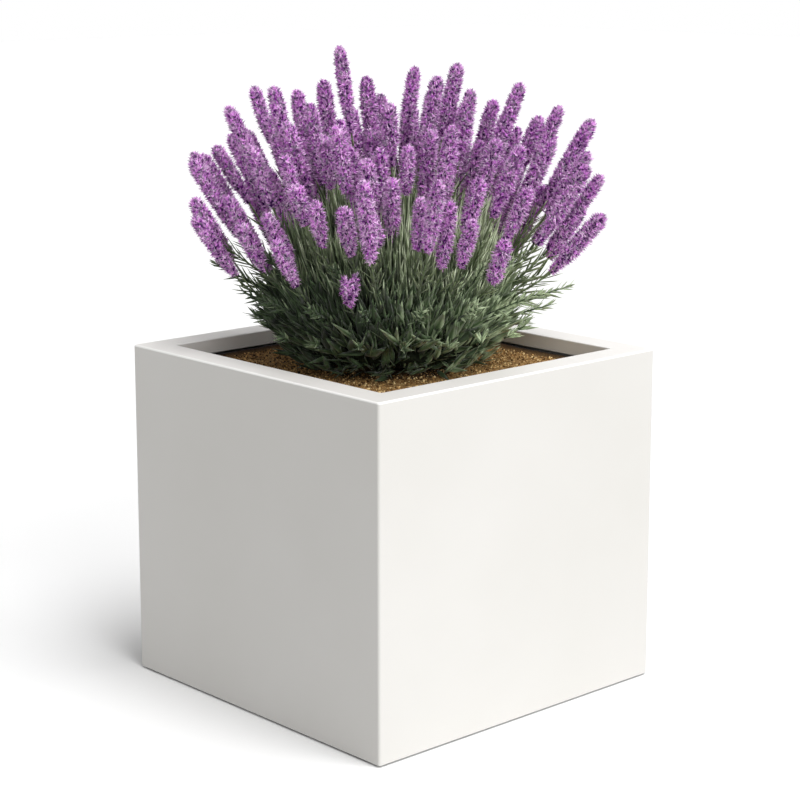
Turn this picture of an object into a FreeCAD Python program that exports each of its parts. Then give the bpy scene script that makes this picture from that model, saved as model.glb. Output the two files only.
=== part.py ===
"""Square floor planter with a folded rim, a lift-out liner and a lavender bush.

Millimetres, +Z up. The origin is the middle of the footprint, on the floor. The nearest corner of
the pictured view is at +X -Y. Each piece is written to parts/ under its own name.
"""
import FreeCAD
import Part
import math
import os

from FreeCAD import Vector

# Outer shell: one moulding with a flat folded rim, a down-turned lip and a base return
planter_width = 440.0
planter_height = 406.0
wall = 4.0
rim_width = 36.0
rim_thickness = 4.0
lip_depth = 18.0
lip_thickness = 4.0
corner_radius = 6.0
inside_corner_radius = 9.0
opening_corner_radius = 7.0
rim_edge_radius = 3.0
opening_edge = 1.6
lip_edge = 1.2
base_edge = 1.6
return_width = 34.0
return_thickness = 5.0
overrun = 5.0
level_tolerance = 0.01

# Foot pads under the corners of the base return
pad_height = 2.0
pad_half = 12.0
pad_corner_radius = 3.0
pad_inset = 21.0

# Base panel, bonded on the return, with its drain hole and the plug
panel_thickness = 5.0
panel_clearance = 0.5
drain_radius = 12.0
plug_clearance = 0.2
plug_flange_radius = 17.0
plug_flange_thickness = 2.5
plug_bead_radius = 12.9
plug_bead_height = 2.0

# Liner: a drafted plastic tub on moulded feet
liner_clearance = 2.0
liner_draft = 6.0
liner_wall = 3.0
liner_floor = 4.0
liner_top_gap = 1.5
liner_corner_radius = 12.0
liner_foot_height = 12.0
liner_foot_radius = 17.0
liner_foot_taper = 3.0
liner_foot_spacing = 250.0
liner_hole_radius = 7.0
liner_hole_spacing = 110.0

# Fill: pebbles, a filter sheet, soil and the planting hole for the root ball
pebble_depth = 45.0
fleece_thickness = 1.5
soil_below_liner_edge = 3.0
root_ball_top_radius = 85.0
root_ball_low_radius = 62.0
root_ball_depth = 150.0

# Bush: woody crown, dome of leaves with an open middle, leafy shoots and flowers
bush_height = 386.0
dome_reach = 148.0
dome_rise = 115.0
dome_middle = 45.0
dome_thickness = 40.0
trunk_radius = 20.0
trunk_top_radius = 11.0
trunk_height = 34.0
branch_radius = 6.0
stalk_radius = 1.6
spike_radius = 9.0
shoot_radius = 5.5
fan_focus = 280.0
flower_clearance = 1.0

# Viewing point from which the bush's outline is described, measured from the middle of the footprint
view_bearing = 47.4
eye_across = 9.0
eye_distance = 2455.0
eye_height = 883.5

# Spikes as they are seen, in shares of bush_height: across and above the soil in the upright plane
# through the bush's middle, for the tip, then for the lower end, and how much nearer the tip stands
outline_spike_shares = [
    (-0.61, 0.66, -0.49, 0.39, -0.05),
    (-0.61, 0.52, -0.55, 0.38, 0.08),
    (-0.54, 0.68, -0.44, 0.45, -0.16),
    (-0.50, 0.80, -0.41, 0.53, 0.05),
    (-0.42, 0.86, -0.37, 0.60, -0.13),
    (-0.36, 0.86, -0.33, 0.58, 0.16),
    (-0.29, 0.85, -0.27, 0.60, -0.20),
    (-0.25, 0.81, -0.23, 0.55, 0.10),
    (-0.21, 0.88, -0.19, 0.60, -0.08),
    (-0.16, 0.98, -0.13, 0.66, 0.04),
    (-0.08, 0.89, -0.06, 0.60, -0.18),
    (-0.01, 0.81, 0.00, 0.54, 0.15),
    (0.07, 0.92, 0.03, 0.62, -0.10),
    (0.14, 0.89, 0.09, 0.60, 0.12),
    (0.20, 0.93, 0.15, 0.62, -0.12),
    (0.24, 0.85, 0.21, 0.56, 0.18),
    (0.31, 0.82, 0.26, 0.56, -0.05),
    (0.39, 0.87, 0.32, 0.58, 0.10),
    (0.45, 0.77, 0.38, 0.52, -0.15),
    (0.51, 0.80, 0.43, 0.52, 0.05),
    (0.61, 0.76, 0.50, 0.48, -0.05),
    (0.60, 0.66, 0.49, 0.44, 0.12),
    (0.57, 0.59, 0.46, 0.36, -0.12),
    (0.64, 0.59, 0.51, 0.34, 0.03),
    (0.65, 0.47, 0.52, 0.28, 0.12),
]
front_spike_shares = [
    (-0.43, 0.68, -0.38, 0.46, 0.20),
    (-0.33, 0.65, -0.29, 0.43, 0.28),
    (-0.21, 0.71, -0.19, 0.46, 0.26),
    (-0.16, 0.76, -0.14, 0.50, 0.20),
    (0.05, 0.68, 0.04, 0.45, 0.28),
    (0.12, 0.73, 0.10, 0.47, 0.24),
    (0.32, 0.70, 0.27, 0.47, 0.22),
    (0.39, 0.68, 0.33, 0.46, 0.18),
    (-0.15, 0.49, -0.13, 0.33, 0.45),
    (-0.13, 0.28, -0.135, 0.18, 0.42),
    (-0.07, 0.47, -0.04, 0.33, 0.44),
    (0.09, 0.52, 0.08, 0.33, 0.44),
    (0.18, 0.51, 0.16, 0.28, 0.46),
    (-0.24, 0.51, -0.22, 0.34, 0.42),
    (0.25, 0.45, 0.21, 0.26, 0.44),
    (0.35, 0.39, 0.32, 0.25, 0.36),
    (-0.39, 0.47, -0.32, 0.31, 0.32),
    (-0.36, 0.39, -0.30, 0.22, 0.36),
    (-0.47, 0.44, -0.41, 0.29, 0.22),
    (0.00, 0.58, 0.00, 0.38, 0.38),
    (0.27, 0.58, 0.23, 0.38, 0.36),
    (-0.30, 0.56, -0.26, 0.37, 0.36),
    (0.42, 0.55, 0.36, 0.37, 0.26),
    (-0.08, 0.64, -0.06, 0.43, 0.32),
]

# Rings of spikes that fill the rest of the bush: reach, rise of the tip, length and count
ring_spike_shares = [
    (0.61, 0.48, 0.24, 18),
    (0.61, 0.64, 0.28, 18),
    (0.51, 0.54, 0.26, 16),
    (0.50, 0.71, 0.30, 15),
    (0.39, 0.62, 0.27, 13),
    (0.38, 0.77, 0.31, 12),
    (0.27, 0.70, 0.29, 9),
    (0.25, 0.82, 0.31, 8),
    (0.13, 0.74, 0.29, 5),
    (0.12, 0.84, 0.31, 4),
]

# Leafy side shoots as they are seen: tip across, tip above the soil, nearness of the tip
side_shoot_shares = [
    (-0.55, 0.32, 0.02),
    (-0.53, 0.25, -0.08),
    (-0.48, 0.21, 0.10),
    (-0.45, 0.16, -0.02),
    (-0.39, 0.12, 0.12),
    (0.49, 0.19, 0.06),
    (0.48, 0.14, -0.06),
    (0.55, 0.25, -0.02),
]

# Rings of leafy shoots: reach, rise of the tip, count
ring_shoot_shares = [
    (0.46, 0.13, 19),
    (0.47, 0.25, 17),
    (0.40, 0.36, 16),
    (0.29, 0.46, 13),
    (0.17, 0.52, 8),
    (0.06, 0.55, 3),
]

# Outline of a spike, a shoot and a branch: share of the length, share of the radius
spike_outline_shares = [(0.0, 0.30), (0.14, 0.88), (0.62, 1.0), (1.0, 0.28)]
shoot_outline_shares = [(0.0, 0.30), (0.55, 1.0), (1.0, 0.12)]
branch_outline_shares = [(0.0, 1.0), (1.0, 0.5)]

# Tries in depth for a seen spike, in shares of bush_height, until it clears its neighbours
depth_try_shares = [0.0, 0.04, -0.04, 0.08, -0.08, 0.12, -0.12, 0.16, -0.16, 0.20, -0.20]
turn_try_shares = [0.0, 0.25, -0.25]
inner_band_share = 0.28
middle_band_share = 0.46

# Ring flowers that stand nearer than this keep their lower ends above the leaves in front
front_share = 0.12
front_leaf_share = 0.38
stalk_drop_share = 0.7
seat_share = 0.86
upright_tolerance_share = 0.0001

ball_sides = 24
dome_sides = 16
dome_angles = (-13, 10, 32, 54, 72, 84)
hollow_angles = (-24, 10, 40, 65, 84)
branch_rows = ((7, 12), (5, 42))
spike_sides = 5
shoot_sides = 3
stalk_sides = 3
branch_sides = 4

# Levels and half widths that follow from the sizes above
half_width = planter_width / 2
opening_half = half_width - rim_width
lip_bottom = planter_height - lip_depth
shell_bottom = pad_height
panel_bottom = shell_bottom + return_thickness
panel_top = panel_bottom + panel_thickness
liner_bottom = panel_top + liner_foot_height
liner_top = lip_bottom - liner_top_gap
liner_top_half = opening_half - liner_clearance
fill_bottom = liner_bottom + liner_floor
pebble_top = fill_bottom + pebble_depth
fleece_top = pebble_top + fleece_thickness
soil_level = liner_top - soil_below_liner_edge
dome_centre = Vector(0, 0, soil_level + dome_middle)


def square_wire(half, level, radius):
    """Square outline about the Z axis with round corners."""
    flat = half - radius
    bulge = flat + radius * math.sqrt(0.5)
    edges = []
    for quarter in range(4):
        turn = FreeCAD.Rotation(Vector(0, 0, 1), 90 * quarter)
        side_start = turn.multVec(Vector(half, -flat, level))
        side_end = turn.multVec(Vector(half, flat, level))
        corner_middle = turn.multVec(Vector(bulge, bulge, level))
        corner_end = turn.multVec(Vector(flat, half, level))
        edges.append(Part.makeLine(side_start, side_end))
        edges.append(Part.Arc(side_end, corner_middle, corner_end).toShape())
    return Part.Wire(edges)


def square_block(half, low, high, radius):
    """Upright block with a round-cornered square section."""
    return Part.Face(square_wire(half, low, radius)).extrude(Vector(0, 0, high - low))


def drafted_block(low_half, high_half, low, high, radius):
    """Round-cornered square block whose walls lean by the change of half width."""
    wires = [square_wire(low_half, low, radius), square_wire(high_half, high, radius)]
    return Part.makeLoft(wires, True, True)


def edges_at(shape, level, limit=None):
    """Edges that lie at one level, and within a half width where a limit is given."""
    found = []
    for edge in shape.Edges:
        box = edge.BoundBox
        flat = abs(box.ZMin - level) < level_tolerance and box.ZLength < level_tolerance
        inside = limit is None or max(abs(box.XMax), abs(box.XMin), abs(box.YMax), abs(box.YMin)) < limit
        if flat and inside:
            found.append(edge)
    return found


def grid(count, spacing):
    """Places of a square grid about the Z axis."""
    offsets = [(index - (count - 1) / 2) * spacing for index in range(count)]
    return [(x, y) for x in offsets for y in offsets]


def turned(points):
    """Solid of revolution about the Z axis from points of radius and height."""
    corners = [Vector(radius, 0, height) for radius, height in points]
    outline = Part.makePolygon(corners + corners[:1])
    return Part.Face(outline).revolve(Vector(0, 0, 0), Vector(0, 0, 1), 360)


def outer_shell():
    """Walls, folded rim, lip and base return."""
    block = square_block(half_width, shell_bottom, planter_height, corner_radius)
    block = block.makeFillet(rim_edge_radius, edges_at(block, planter_height))
    block = block.makeChamfer(base_edge, edges_at(block, shell_bottom))
    hollow = square_block(half_width - wall, panel_bottom, planter_height - rim_thickness, inside_corner_radius)
    lip = square_block(opening_half + lip_thickness, lip_bottom, planter_height - rim_thickness,
                       opening_corner_radius + lip_thickness)
    opening = square_block(opening_half, lip_bottom - overrun, planter_height + overrun, opening_corner_radius)
    return_opening = square_block(half_width - wall - return_width, shell_bottom - overrun,
                                  panel_bottom + overrun, inside_corner_radius)
    shell = block.cut(hollow).fuse(lip).cut(opening).cut(return_opening).removeSplitter()
    shell = shell.makeChamfer(opening_edge, edges_at(shell, planter_height, opening_half + overrun))
    return shell.makeChamfer(lip_edge, edges_at(shell, lip_bottom))


def base_panel():
    """Flat panel on the base return, with its drain hole."""
    panel = square_block(half_width - wall - panel_clearance, panel_bottom, panel_top, inside_corner_radius)
    hole_start = Vector(0, 0, panel_bottom - overrun)
    return panel.cut(Part.makeCylinder(drain_radius, panel_thickness + 2 * overrun, hole_start))


def drain_plug():
    """Rubber plug: flange on the panel, stem in the hole and a bead under the panel."""
    stem_radius = drain_radius - plug_clearance
    bead_top = panel_bottom - plug_clearance
    return turned([(0, bead_top - plug_bead_height), (plug_bead_radius, bead_top - plug_bead_height),
                   (plug_bead_radius, bead_top), (stem_radius, bead_top), (stem_radius, panel_top),
                   (plug_flange_radius, panel_top), (plug_flange_radius, panel_top + plug_flange_thickness),
                   (0, panel_top + plug_flange_thickness)])


def foot_pad(x, y):
    """Thin square pad with round corners."""
    return square_block(pad_half, 0, pad_height, pad_corner_radius).translated(Vector(x, y, 0))


def liner_half(level):
    """Outer half width of the liner at a level: the walls lean in by the draft towards the floor."""
    return liner_top_half - liner_draft * (liner_top - level) / (liner_top - liner_bottom)


def fill_block(low, high):
    """Block that fills the liner between two levels."""
    return drafted_block(liner_half(low) - liner_wall, liner_half(high) - liner_wall, low, high,
                         liner_corner_radius - liner_wall)


def liner():
    """Drafted tub with feet and drain holes."""
    tub = drafted_block(liner_half(liner_bottom), liner_half(liner_top), liner_bottom, liner_top,
                        liner_corner_radius)
    tub = tub.cut(fill_block(fill_bottom, liner_top + overrun))
    for x, y in grid(2, liner_foot_spacing):
        foot = Part.makeCone(liner_foot_radius - liner_foot_taper, liner_foot_radius,
                             liner_foot_height + liner_floor / 2, Vector(x, y, panel_top))
        tub = tub.fuse(foot)
    for x, y in grid(2, liner_hole_spacing):
        hole_start = Vector(x, y, liner_bottom - overrun)
        tub = tub.cut(Part.makeCylinder(liner_hole_radius, liner_floor + 2 * overrun, hole_start))
    return tub.removeSplitter()


def root_ball():
    """Tapered plug of roots and soil, level with the soil."""
    levels = [(soil_level - root_ball_depth, root_ball_low_radius), (soil_level, root_ball_top_radius)]
    upward = Vector(0, 0, 1)
    return ring_solid([ring_points(Vector(0, 0, level), upward, radius, ball_sides) for level, radius in levels])


def ring_points(centre, direction, radius, sides):
    """Corners of a regular polygon about a centre, square to a direction."""
    side_on = direction.cross(Vector(0, 0, 1))
    if side_on.Length < upright_tolerance_share:
        side_on = Vector(1, 0, 0)
    side_on.normalize()
    upward = side_on.cross(direction).normalize()
    points = []
    for index in range(sides):
        angle = 2 * math.pi * index / sides
        points.append(centre + side_on * (radius * math.cos(angle)) + upward * (radius * math.sin(angle)))
    return points


def ring_solid(rings):
    """Closed solid with flat faces through similar, parallel rings of corners."""
    faces = [Part.Face(Part.makePolygon(rings[0] + rings[0][:1])),
             Part.Face(Part.makePolygon(rings[-1] + rings[-1][:1]))]
    for lower, upper in zip(rings, rings[1:]):
        for here in range(len(lower)):
            there = (here + 1) % len(lower)
            corners = [lower[here], lower[there], upper[there], upper[here], lower[here]]
            faces.append(Part.Face(Part.makePolygon(corners)))
    shell = Part.makeShell(faces)
    shell.sewShape()
    solid = Part.makeSolid(shell)
    if solid.Volume < 0:
        solid.reverse()
    return solid


def spindle(start, end, radius, outline, sides):
    """Slender solid along a line whose radius follows an outline of shares."""
    direction = (end - start).normalize()
    rings = []
    for along, across in outline:
        rings.append(ring_points(start + (end - start) * along, direction, radius * across, sides))
    return ring_solid(rings)


def dome(inset, angles):
    """Dome about the bush's middle, inset from the leaves' outside, from rings at angles of rise."""
    rings = []
    for angle in angles:
        reach = (dome_reach - inset) * math.cos(math.radians(angle))
        rise = (dome_rise - inset) * math.sin(math.radians(angle))
        rings.append(ring_points(dome_centre + Vector(0, 0, rise), Vector(0, 0, 1), reach, dome_sides))
    return ring_solid(rings)


def dome_share(place):
    """How far a place lies from the dome's middle, as a share of the way to its outside."""
    ray = place - dome_centre
    return math.sqrt((ray.x ** 2 + ray.y ** 2) / dome_reach ** 2 + ray.z ** 2 / dome_rise ** 2)


def in_dome(aim, share):
    """Point in the direction of an aim from the dome's middle, at a share of the way to its outside."""
    return dome_centre + (aim - dome_centre) * (share / dome_share(aim))


def seen_place(across, rise, nearer):
    """Place of a point seen across and above the soil that stands nearer than the bush's middle."""
    shift = nearer / eye_distance
    across = across + (eye_across - across) * shift
    level = soil_level + rise + (eye_height - soil_level - rise) * shift
    bearing = math.radians(view_bearing)
    return Vector(across * math.cos(bearing) + nearer * math.sin(bearing),
                  across * math.sin(bearing) - nearer * math.cos(bearing), level)


class Flower:
    """Spike from its lower end to its tip, on a stalk that reaches into the dome."""

    def __init__(self, low, tip):
        self.low = low
        self.tip = tip
        aim = dome_centre + Vector(low.x, low.y, (low.z - dome_centre.z) * stalk_drop_share)
        self.seat = in_dome(aim, seat_share)
        self.surface = in_dome(aim, 1.0)
        self.sticks = [(Part.makeLine(low, tip), spike_radius)]
        self.sticks.append((Part.makeLine(self.surface, low), stalk_radius))

    def spike(self):
        """The flowering spindle."""
        return spindle(self.low, self.tip, spike_radius, spike_outline_shares, spike_sides)

    def stalk(self, leaves):
        """Thin stalk whose top lies flat on the spike's end and whose foot stops at the leaves."""
        direction = (self.tip - self.low).normalize()
        top = ring_points(self.low, direction, stalk_radius, stalk_sides)
        foot = [point + (self.seat - self.low) for point in top]
        return ring_solid([foot, top]).cut(leaves)


class Shoot:
    """Leafy shoot that stands out of the dome."""

    def __init__(self, tip):
        self.tip = tip
        aim = dome_centre + Vector(tip.x, tip.y, (tip.z - dome_centre.z) * stalk_drop_share)
        self.seat = in_dome(aim, seat_share)
        self.sticks = [(Part.makeLine(in_dome(aim, 1.0), tip), shoot_radius)]

    def solid(self, leaves):
        """The shoot, cut where it meets the dome."""
        return spindle(self.seat, self.tip, shoot_radius, shoot_outline_shares, shoot_sides).cut(leaves)


def stands_clear(plant, placed):
    """Whether a flower or shoot keeps its clearance to all placed before, inside the footprint."""
    limit = half_width - spike_radius
    if max(abs(plant.tip.x), abs(plant.tip.y)) > limit:
        return False
    for line, radius in plant.sticks:
        for other in placed:
            for other_line, other_radius in other.sticks:
                if line.distToShape(other_line)[0] < radius + other_radius + flower_clearance:
                    return False
    return True


def seen_flowers(shares, placed):
    """Flowers at their seen places, each at the first depth at which it stands clear."""
    for tip_across, tip_rise, low_across, low_rise, nearer in shares:
        for depth_try in depth_try_shares:
            tip_nearer = (nearer + depth_try) * bush_height
            low_nearer = tip_nearer * (fan_focus + low_rise * bush_height) / (fan_focus + tip_rise * bush_height)
            tip = seen_place(tip_across * bush_height, tip_rise * bush_height, tip_nearer)
            low = seen_place(low_across * bush_height, low_rise * bush_height, low_nearer)
            flower = Flower(low, tip)
            if outside_leaves(flower) and stands_clear(flower, placed):
                placed.append(flower)
                break


def ring_places(reach, rise, count, turn):
    """Places on a ring above the soil."""
    places = []
    for index in range(count):
        angle = 2 * math.pi * (index + turn) / count
        places.append(Vector(reach * math.cos(angle), reach * math.sin(angle), soil_level + rise))
    return places


def ring_flowers(shares, placed):
    """Flowers on rings, pointing away from the fan's focus, wherever they stand clear."""
    focus = Vector(0, 0, soil_level - fan_focus)
    for row, (reach, rise, length, count) in enumerate(shares):
        for turn_try in turn_try_shares:
            turn = row / 2 + turn_try
            for tip in ring_places(reach * bush_height, rise * bush_height, count, turn):
                low = tip - (tip - focus).normalize() * (length * bush_height)
                flower = Flower(low, tip)
                visible = outside_leaves(flower) and not hides_leaves(flower)
                if visible and stands_clear(flower, placed):
                    placed.append(flower)


def outside_leaves(flower):
    """Whether a flower's lower end stands clear of the dome, so that its stalk shows."""
    return dome_share(flower.low) > 1 + spike_radius / dome_rise


def hides_leaves(flower):
    """Whether a flower in front reaches down over the leaves that the pictured side shows."""
    bearing = math.radians(view_bearing)
    nearer = flower.low.x * math.sin(bearing) - flower.low.y * math.cos(bearing)
    return nearer > front_share * bush_height and flower.low.z < soil_level + front_leaf_share * bush_height


def leafy_shoots(flowers):
    """Side shoots at their seen places and rings of shoots between the stalks."""
    tips = []
    for across, rise, nearer in side_shoot_shares:
        tips.append(seen_place(across * bush_height, rise * bush_height, nearer * bush_height))
    for row, (reach, rise, count) in enumerate(ring_shoot_shares):
        tips.extend(ring_places(reach * bush_height, rise * bush_height, count, row / 2))
    placed = []
    for tip in tips:
        shoot = Shoot(tip)
        if stands_clear(shoot, flowers + placed):
            placed.append(shoot)
    return placed


def woody_crown(leaves):
    """Short trunk with branches that end where they meet the dome's inside."""
    top = soil_level + trunk_height
    trunk = ring_solid([ring_points(Vector(0, 0, soil_level), Vector(0, 0, 1), trunk_radius, dome_sides),
                        ring_points(Vector(0, 0, top), Vector(0, 0, 1), trunk_top_radius, dome_sides)])
    start = Vector(0, 0, soil_level + trunk_height / 2)
    branches = []
    for row, (count, angle) in enumerate(branch_rows):
        for index in range(count):
            turn = 2 * math.pi * (index + row / 2) / count
            rise = math.sin(math.radians(angle))
            reach = math.cos(math.radians(angle))
            aim = dome_centre + Vector(reach * math.cos(turn), reach * math.sin(turn), rise) * dome_reach
            end = in_dome(aim, seat_share)
            branches.append(spindle(start, end, branch_radius, branch_outline_shares, branch_sides))
    return trunk.multiFuse(branches).cut(leaves).removeSplitter()


def reach_band(place):
    """Name of the band of the bush that a place belongs to."""
    reach = math.hypot(place.x, place.y)
    if reach < bush_height * inner_band_share:
        return "inner"
    if reach < bush_height * middle_band_share:
        return "middle"
    return "outer"


def write(name, shapes):
    """One STEP file per piece, or per group of like pieces."""
    shape = shapes[0] if len(shapes) == 1 else Part.makeCompound(shapes)
    shape.exportStep(os.path.join("parts", name + ".step"))


def planter_pieces():
    """Shell, base, plugs and pads."""
    write("outer_shell", [outer_shell()])
    write("base_panel", [base_panel()])
    write("drain_plug", [drain_plug()])
    for number, (x, y) in enumerate(grid(2, 2 * (half_width - pad_inset)), start=1):
        write("foot_pad_%d" % number, [foot_pad(x, y)])


def liner_pieces():
    """Liner with its fill."""
    ball = root_ball()
    write("liner", [liner()])
    write("drainage_pebbles", [fill_block(fill_bottom, pebble_top)])
    write("filter_fleece", [fill_block(pebble_top, fleece_top)])
    write("potting_soil", [fill_block(fleece_top, soil_level).cut(ball)])
    write("root_ball", [ball])


def bush_pieces():
    """Woody crown, dome of leaves, leafy shoots, stalks and spikes."""
    leaves = dome(0, dome_angles).cut(dome(dome_thickness, hollow_angles))
    write("foliage_mound", [leaves])
    write("woody_crown", [woody_crown(leaves)])
    flowers = []
    seen_flowers(outline_spike_shares, flowers)
    seen_flowers(front_spike_shares, flowers)
    print("seen flowers", len(flowers), "of", len(outline_spike_shares) + len(front_spike_shares))
    ring_flowers(ring_spike_shares, flowers)
    shoots = leafy_shoots(flowers)
    print("flowers", len(flowers), "shoots", len(shoots))
    for band in ("inner", "middle", "outer"):
        members = [flower for flower in flowers if reach_band(flower.tip) == band]
        write("flower_spikes_" + band, [flower.spike() for flower in members])
        write("flower_stalks_" + band, [flower.stalk(leaves) for flower in members])
    low = [shoot.solid(leaves) for shoot in shoots if reach_band(shoot.tip) != "inner"]
    high = [shoot.solid(leaves) for shoot in shoots if reach_band(shoot.tip) == "inner"]
    write("leafy_shoots_low", low)
    write("leafy_shoots_high", high)


os.makedirs("parts", exist_ok=True)
planter_pieces()
liner_pieces()
bush_pieces()
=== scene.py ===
"""Square floor planter with a lift-out liner and a lavender bush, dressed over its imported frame."""
import math
import random

import bmesh
import bpy
from mathutils import Matrix, Quaternion, Vector, noise


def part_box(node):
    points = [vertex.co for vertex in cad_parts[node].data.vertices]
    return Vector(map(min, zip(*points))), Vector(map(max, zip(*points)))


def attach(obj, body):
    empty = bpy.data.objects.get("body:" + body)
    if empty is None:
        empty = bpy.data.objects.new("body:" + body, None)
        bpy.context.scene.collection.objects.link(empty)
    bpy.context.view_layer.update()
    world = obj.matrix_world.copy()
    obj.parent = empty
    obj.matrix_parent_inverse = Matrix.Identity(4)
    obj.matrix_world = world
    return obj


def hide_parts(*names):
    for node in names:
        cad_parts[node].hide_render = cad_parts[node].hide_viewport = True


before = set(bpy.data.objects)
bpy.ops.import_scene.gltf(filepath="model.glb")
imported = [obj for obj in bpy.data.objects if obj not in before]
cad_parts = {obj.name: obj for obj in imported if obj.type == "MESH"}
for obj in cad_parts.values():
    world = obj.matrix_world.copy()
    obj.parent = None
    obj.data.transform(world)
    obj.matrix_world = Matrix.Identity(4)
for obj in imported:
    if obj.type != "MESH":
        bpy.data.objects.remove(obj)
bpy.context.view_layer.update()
mm = 0.001
upward = Vector((0, 0, 1))


# Outer shell: one moulding of off-white composite, with its flat rim folded inwards, a lip turned
# down from the rim, and a flange turned inwards under the walls for the base to be bonded to. It is
# sanded and sprayed satin, so its faces are nearly plain, and its rounded edges carry a painted highlight
# that makes them paler.
def tint(red, green, blue):
    """Colour as a screen shows it, each share out of 255, in the linear values that shaders take."""
    linear = [((share / 255 + 0.055) / 1.055) ** 2.4 for share in (red, green, blue)]
    return (*linear, 1)


class Finish:
    """Material of one shader, coloured and roughened by nodes that read the piece's own coordinates."""

    def __init__(self, name, roughness, specular=0.5):
        self.material = bpy.data.materials.new(name)
        self.material.use_nodes = True
        self.tree = self.material.node_tree
        self.shader = self.tree.nodes["Principled BSDF"]
        self.shader.inputs["Roughness"].default_value = roughness
        self.shader.inputs["Specular IOR Level"].default_value = specular
        self.place = self.add("ShaderNodeTexCoord").outputs["Object"]

    def add(self, kind, **inputs):
        """New node, with its inputs linked to a socket or set to a value."""
        node = self.tree.nodes.new(kind)
        for name, value in inputs.items():
            self.feed(node.inputs[name.replace("_", " ")], value)
        return node

    def feed(self, socket, value):
        """Link or value for one socket."""
        if isinstance(value, bpy.types.NodeSocket):
            self.tree.links.new(value, socket)
        else:
            socket.default_value = value

    def cloud(self, size, detail=4, roughness=0.5):
        """Noise whose largest blots are about a size across, in metres."""
        node = self.add("ShaderNodeTexNoise", Vector=self.place, Scale=1 / size, Detail=detail,
                        Roughness=roughness)
        return node.outputs["Fac"]

    def painted(self, name):
        """Value that the mesh carries at each of its points."""
        node = self.add("ShaderNodeAttribute")
        node.attribute_name = name
        return node.outputs["Fac"]

    def ramp(self, source, *stops):
        """Colours along a value, each stop a share and a colour."""
        node = self.add("ShaderNodeValToRGB", Fac=source)
        line = node.color_ramp.elements
        while len(line) < len(stops):
            line.new(0.5)
        for element, (share, shade) in zip(line, stops):
            element.position = share
            element.color = shade
        return node.outputs["Color"]

    def between(self, source, low, high):
        """Value drawn out between a low and a high one."""
        return self.add("ShaderNodeMapRange", Value=source, To_Min=low, To_Max=high).outputs["Result"]

    def blended(self, share, first, second):
        """Two colours mixed by a share."""
        node = self.add("ShaderNodeMix")
        node.data_type = "RGBA"
        self.feed(node.inputs["Factor"], share)
        colours = [socket for socket in node.inputs if socket.type == "RGBA"]
        self.feed(colours[0], first)
        self.feed(colours[1], second)
        return next(socket for socket in node.outputs if socket.type == "RGBA")

    def colour(self, value):
        """Colour of the surface."""
        self.feed(self.shader.inputs["Base Color"], value)

    def rough(self, value):
        """Roughness that varies over the surface."""
        self.feed(self.shader.inputs["Roughness"], value)

    def relief(self, height, depth, strength=1.0):
        """Bumps of a depth in metres."""
        node = self.add("ShaderNodeBump", Height=height, Distance=depth, Strength=strength)
        self.feed(self.shader.inputs["Normal"], node.outputs["Normal"])


def piece(name, form, finish, body, slot, *nodes):
    """Shown piece from a form, riding on its body and standing for the nodes that it replaces."""
    mesh = bpy.data.meshes.new(name)
    form.to_mesh(mesh)
    form.free()
    mesh.materials.append(finish.material)
    thing = bpy.data.objects.new(name, mesh)
    bpy.context.scene.collection.objects.link(thing)
    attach(thing, body)
    if nodes:
        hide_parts(*nodes)
    return thing


def drawn_on(form, edges):
    """Corners and edges at the far side of the faces drawn on from some edges."""
    made = bmesh.ops.extrude_edge_only(form, edges=edges)["geom"]
    corners = [part for part in made if isinstance(part, bmesh.types.BMVert)]
    ends = set(corners)
    far_edges = [part for part in made if isinstance(part, bmesh.types.BMEdge)
                 and ends.issuperset(part.verts)]
    return corners, far_edges


def smooth_all(form):
    """Every face of a form shaded smooth."""
    for face in form.faces:
        face.smooth = True


half = 220 * mm
height = 406 * mm
wall = 4 * mm
rim_width = 36 * mm
lip_depth = 18 * mm
flange_width = 34 * mm
flange_thickness = 5 * mm
pad_height = 2 * mm
corner_radius = 3.5 * mm
rim_softness = 2.2 * mm
lip_softness = 1.5 * mm
opening = half - rim_width

shell_form = bmesh.new()
bmesh.ops.create_grid(shell_form, x_segments=1, y_segments=1, size=half)
bmesh.ops.bevel(shell_form, geom=shell_form.verts[:], affect="VERTICES", offset=corner_radius,
                segments=7, profile=0.5, material=-1)
bmesh.ops.translate(shell_form, verts=shell_form.verts[:], vec=upward * pad_height)
shell_loops = [shell_form.edges[:]]
bmesh.ops.delete(shell_form, geom=shell_form.faces[:], context="FACES_ONLY")
shell_turns = (
    (half, height),
    (opening, height),
    (opening, height - lip_depth),
    (opening + wall, height - lip_depth),
    (opening + wall, height - wall),
    (half - wall, height - wall),
    (half - wall, pad_height + flange_thickness),
    (half - flange_width, pad_height + flange_thickness),
    (half - flange_width, pad_height),
)
reach, level = half, pad_height
for next_reach, next_level in shell_turns:
    corners, next_loop = drawn_on(shell_form, shell_loops[-1])
    shell_loops.append(next_loop)
    ratio = next_reach / reach
    bmesh.ops.scale(shell_form, verts=corners, vec=(ratio, ratio, 1))
    bmesh.ops.translate(shell_form, verts=corners, vec=upward * (next_level - level))
    reach, level = next_reach, next_level
bmesh.ops.bridge_loops(shell_form, edges=shell_loops[-1] + shell_loops[0])
bmesh.ops.recalc_face_normals(shell_form, faces=shell_form.faces[:])
# The bevels' faces are marked for a painted highlight: a paler colour on the rounded edges.
edge_highlight = shell_form.faces.layers.float.new("edge_highlight")
for loop, softness in ((1, rim_softness), (2, lip_softness), (3, lip_softness), (4, lip_softness),
                       (0, lip_softness)):
    made = bmesh.ops.bevel(shell_form, geom=shell_loops[loop], affect="EDGES", offset=softness, segments=4,
                           profile=0.5, material=-1, clamp_overlap=True)
    for face in made["faces"]:
        face[edge_highlight] = 1
smooth_all(shell_form)

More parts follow.
